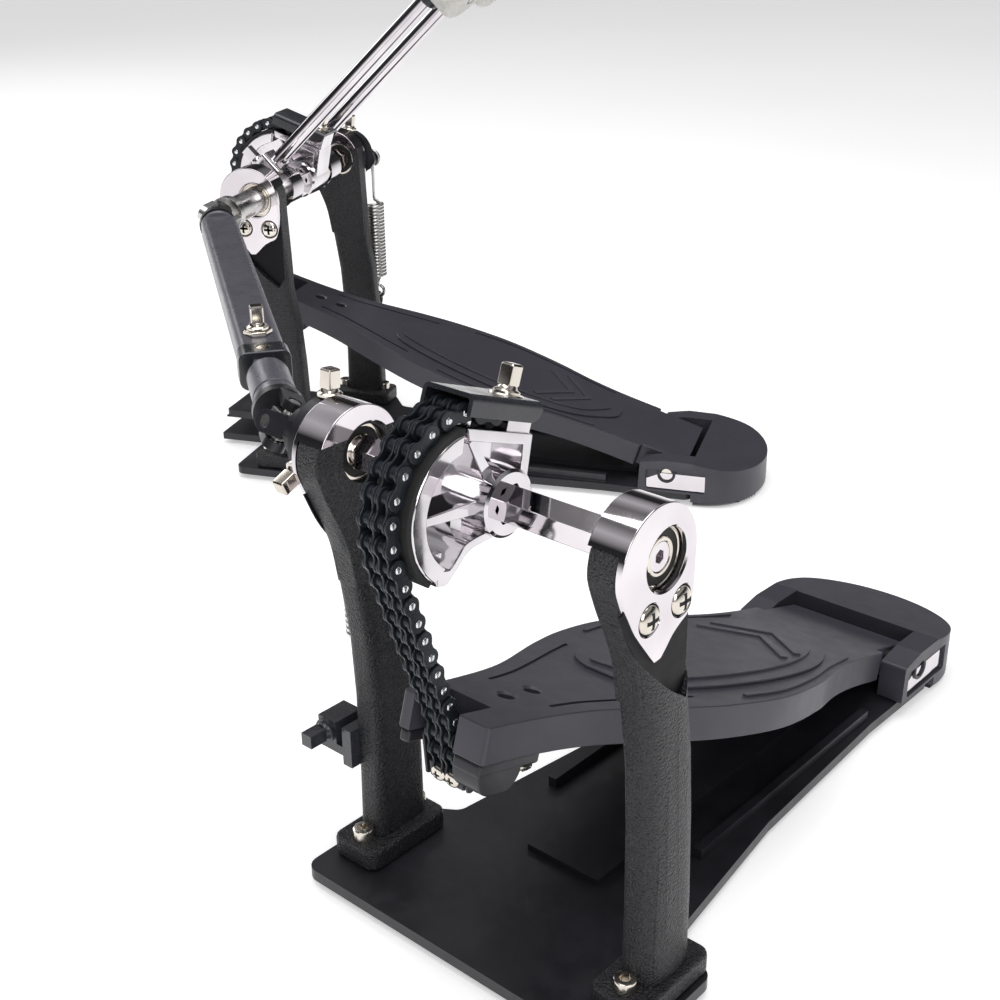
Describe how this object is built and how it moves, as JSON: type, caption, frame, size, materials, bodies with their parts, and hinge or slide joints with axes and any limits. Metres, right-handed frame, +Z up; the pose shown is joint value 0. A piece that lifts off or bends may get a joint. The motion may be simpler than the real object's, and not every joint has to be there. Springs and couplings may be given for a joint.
{
  "type": "bass drum pedal",
  "caption": "Twin bass drum pedal: two chain-driven footboards on post frames, joined by a jointed drive shaft, with two beaters on the right-hand frame.",
  "frame": {"origin": "on the floor under the middle of the right-hand pedal's axle", "axes": "+X to the drummer's right along the right-hand axle, +Y towards the drum, +Z up"},
  "size_m": [0.6087, 0.4946, 0.3492],
  "materials": {
    "black_casting": "fine leather-like texture, satin",
    "board_grey": "satin powder coat",
    "base_black": "satin",
    "chrome": "polished",
    "steel": "plated, satin",
    "blued_steel": "oiled black oxide",
    "tube_grey": "semi-gloss",
    "rubber": "matt",
    "felt": "dense wool felt"
  },
  "bodies": {
    "root": {"right_base_plate": "base_black", "right_base_pads": "rubber", "right_inner_post": "black_casting", "right_outer_post": "black_casting", "right_post_caps": "chrome", "right_frame_fasteners": "steel", "right_bearings": "steel", "right_heel_plate": "board_grey", "right_spring_adjuster": "base_black"},
    "right_footboard": {"right_footboard": "board_grey", "right_toe_bracket": "base_black", "right_toe_screws": "steel"},
    "right_axle": {"right_axle": "chrome", "right_cam": "chrome", "right_chain_clamp": "base_black", "right_key_bolts": "chrome", "right_spring_lever": "base_black", "right_chain_run_1": "blued_steel", "right_beater_hub": "chrome"},
    "right_chain_run_2": {"right_chain_run_2": "blued_steel"},
    "right_chain_run_3": {"right_chain_run_3": "blued_steel"},
    "right_chain_run_4": {"right_chain_run_4": "blued_steel"},
    "right_spring_coil": {"right_spring_coil": "steel"},
    "right_spring_hook": {"right_spring_hook": "steel"},
    "left_frame": {"left_base_plate": "base_black", "left_base_pads": "rubber", "left_outer_post": "black_casting", "left_inner_post": "black_casting", "left_post_caps": "chrome", "left_frame_fasteners": "steel", "left_bearings": "steel", "left_heel_plate": "board_grey", "left_spring_adjuster": "base_black"},
    "left_footboard": {"left_footboard": "board_grey", "left_toe_bracket": "base_black", "left_toe_screws": "steel"},
    "left_axle": {"left_axle": "chrome", "left_cam": "chrome", "left_chain_clamp": "base_black", "left_key_bolts": "chrome", "left_spring_lever": "base_black", "left_chain_run_1": "blued_steel", "left_yoke": "base_black"},
    "left_chain_run_2": {"left_chain_run_2": "blued_steel"},
    "left_chain_run_3": {"left_chain_run_3": "blued_steel"},
    "left_chain_run_4": {"left_chain_run_4": "blued_steel"},
    "left_spring_coil": {"left_spring_coil": "steel"},
    "left_spring_hook": {"left_spring_hook": "steel"},
    "left_cross": {"left_cross": "steel"},
    "drive_rod": {"drive_rod": "tube_grey"},
    "drive_tube": {"drive_tube": "tube_grey"},
    "right_cross": {"right_cross": "steel"},
    "beater_axle": {"beater_axle": "steel", "left_beater_hub": "chrome"},
    "right_beater": {"right_beater_rod": "chrome", "right_beater_head": "felt"},
    "left_beater": {"left_beater_rod": "chrome", "left_beater_head": "felt"},
    "hoop_clamp_jaw": {"hoop_clamp_jaw": "base_black"},
    "hoop_clamp_bolt": {"hoop_clamp_bolt": "chrome"}
  },
  "joints": [
    {"name": "right_footboard_press", "type": "hinge", "parent": "root", "child": "right_footboard", "pos_m": [0, -0.257, 0.02], "axis": [-1, 0, 0], "range_deg": [0, 9]},
    {"name": "right_axle_turn", "type": "hinge", "parent": "root", "child": "right_axle", "pos_m": [0, 0, 0.185], "axis": [-1, 0, 0], "range_deg": [0, 50]},
    {"name": "right_chain_bend_2", "type": "hinge", "parent": "right_axle", "child": "right_chain_run_2", "pos_m": [0, 0.02906, 0.21654], "axis": [1, 0, 0], "range_deg": [0, 8.13]},
    {"name": "right_chain_bend_3", "type": "hinge", "parent": "right_chain_run_2", "child": "right_chain_run_3", "pos_m": [0, 0.04543, 0.19966], "axis": [1, 0, 0], "range_deg": [0, 19.52]},
    {"name": "right_chain_bend_4", "type": "hinge", "parent": "right_chain_run_3", "child": "right_chain_run_4", "pos_m": [0, 0.04786, 0.18396], "axis": [1, 0, 0], "range_deg": [0, 33.62]},
    {"name": "right_spring_swing", "type": "hinge", "parent": "root", "child": "right_spring_coil", "pos_m": [0.084, -0.016, 0.084], "axis": [-1, 0, 0], "range_deg": [0, 1.16]},
    {"name": "right_spring_stretch", "type": "slide", "parent": "right_spring_coil", "child": "right_spring_hook", "axis": [0, 0.0025, 1], "range_m": [0, 0.0135]},
    {"name": "linkage_length", "type": "slide", "parent": "root", "child": "left_frame", "axis": [-0.8563, -0.5165, 0], "range_m": [-0.008, 0.06]},
    {"name": "left_footboard_press", "type": "hinge", "parent": "left_frame", "child": "left_footboard", "pos_m": [-0.22697, -0.37838, 0.02], "axis": [-0.4147, -0.91, 0], "range_deg": [0, 9]},
    {"name": "left_axle_turn", "type": "hinge", "parent": "left_frame", "child": "left_axle", "pos_m": [-0.46083, -0.27181, 0.185], "axis": [-0.4147, -0.91, 0], "range_deg": [0, 50]},
    {"name": "left_chain_bend_2", "type": "hinge", "parent": "left_axle", "child": "left_chain_run_2", "pos_m": [-0.48727, -0.25976, 0.21654], "axis": [0.4147, 0.91, 0], "range_deg": [0, 8.13]},
    {"name": "left_chain_bend_3", "type": "hinge", "parent": "left_chain_run_2", "child": "left_chain_run_3", "pos_m": [-0.50217, -0.25297, 0.19966], "axis": [0.4147, 0.91, 0], "range_deg": [0, 19.52]},
    {"name": "left_chain_bend_4", "type": "hinge", "parent": "left_chain_run_3", "child": "left_chain_run_4", "pos_m": [-0.50438, -0.25196, 0.18396], "axis": [0.4147, 0.91, 0], "range_deg": [0, 33.62]},
    {"name": "left_spring_swing", "type": "hinge", "parent": "left_frame", "child": "left_spring_coil", "pos_m": [-0.41143, -0.202, 0.084], "axis": [-0.4147, -0.91, 0], "range_deg": [0, 1.16]},
    {"name": "left_spring_stretch", "type": "slide", "parent": "left_spring_coil", "child": "left_spring_hook", "axis": [-0.0023, 0.001, 1], "range_m": [0, 0.0135]},
    {"name": "left_cross_tilt", "type": "hinge", "parent": "left_axle", "child": "left_cross", "pos_m": [-0.4177, -0.17717, 0.185], "axis": [-0.8247, 0.3758, 0.4226], "range_deg": [0, 32.29]},
    {"name": "drive_rod_turn", "type": "hinge", "parent": "left_frame", "child": "drive_rod", "pos_m": [-0.4177, -0.17717, 0.185], "axis": [-0.8563, -0.5165, 0], "range_deg": [0, 58.95]},
    {"name": "drive_tube_turn", "type": "hinge", "parent": "root", "child": "drive_tube", "pos_m": [-0.124, 0, 0.185], "axis": [-0.8563, -0.5165, 0], "range_deg": [0, 58.95]},
    {"name": "beater_axle_turn", "type": "hinge", "parent": "root", "child": "beater_axle", "pos_m": [0, 0, 0.185], "axis": [-1, 0, 0], "range_deg": [0, 51.66]},
    {"name": "right_cross_tilt", "type": "hinge", "parent": "beater_axle", "child": "right_cross", "pos_m": [-0.124, 0, 0.185], "axis": [0, -0.9001, -0.4356], "range_deg": [0, 29.45]},
    {"name": "right_beater_height", "type": "slide", "parent": "right_axle", "child": "right_beater", "axis": [0, -0.7193, 0.6947], "range_m": [-0.02, 0.02]},
    {"name": "left_beater_height", "type": "slide", "parent": "beater_axle", "child": "left_beater", "axis": [0, -0.7193, 0.6947], "range_m": [-0.02, 0.02]},
    {"name": "hoop_clamp_open", "type": "hinge", "parent": "root", "child": "hoop_clamp_jaw", "pos_m": [0, 0.002, 0.016], "axis": [1, 0, 0], "range_deg": [0, 8]},
    {"name": "hoop_clamp_bolt_lift", "type": "slide", "parent": "root", "child": "hoop_clamp_bolt", "axis": [0, 0, 1], "range_m": [0, 0.005]}
  ],
  "couplings": [
    {"joint": "right_axle_turn", "follows": "right_footboard_press", "ratio": 5.5556},
    {"joint": "right_chain_bend_2", "follows": "right_footboard_press", "ratio": 0.90251},
    {"joint": "right_chain_bend_3", "follows": "right_footboard_press", "ratio": 2.1677},
    {"joint": "right_chain_bend_4", "follows": "right_footboard_press", "ratio": 3.7343},
    {"joint": "right_spring_swing", "follows": "right_footboard_press", "ratio": 0.1274},
    {"joint": "right_spring_stretch", "follows": "right_footboard_press", "m_per_rad": 0.085846},
    {"joint": "left_axle_turn", "follows": "left_footboard_press", "ratio": 5.5556},
    {"joint": "left_chain_bend_2", "follows": "left_footboard_press", "ratio": 0.90251},
    {"joint": "left_chain_bend_3", "follows": "left_footboard_press", "ratio": 2.1677},
    {"joint": "left_chain_bend_4", "follows": "left_footboard_press", "ratio": 3.7343},
    {"joint": "left_spring_swing", "follows": "left_footboard_press", "ratio": 0.1274},
    {"joint": "left_spring_stretch", "follows": "left_footboard_press", "m_per_rad": 0.085846},
    {"joint": "left_cross_tilt", "follows": "left_footboard_press", "ratio": 3.5865},
    {"joint": "drive_rod_turn", "follows": "left_footboard_press", "ratio": 6.5495},
    {"joint": "drive_tube_turn", "follows": "left_footboard_press", "ratio": 6.5495},
    {"joint": "beater_axle_turn", "follows": "left_footboard_press", "ratio": 5.7384},
    {"joint": "right_cross_tilt", "follows": "left_footboard_press", "ratio": 3.2717},
    {"joint": "hoop_clamp_bolt_lift", "follows": "hoop_clamp_open", "m_per_rad": 0.033}
  ]
}
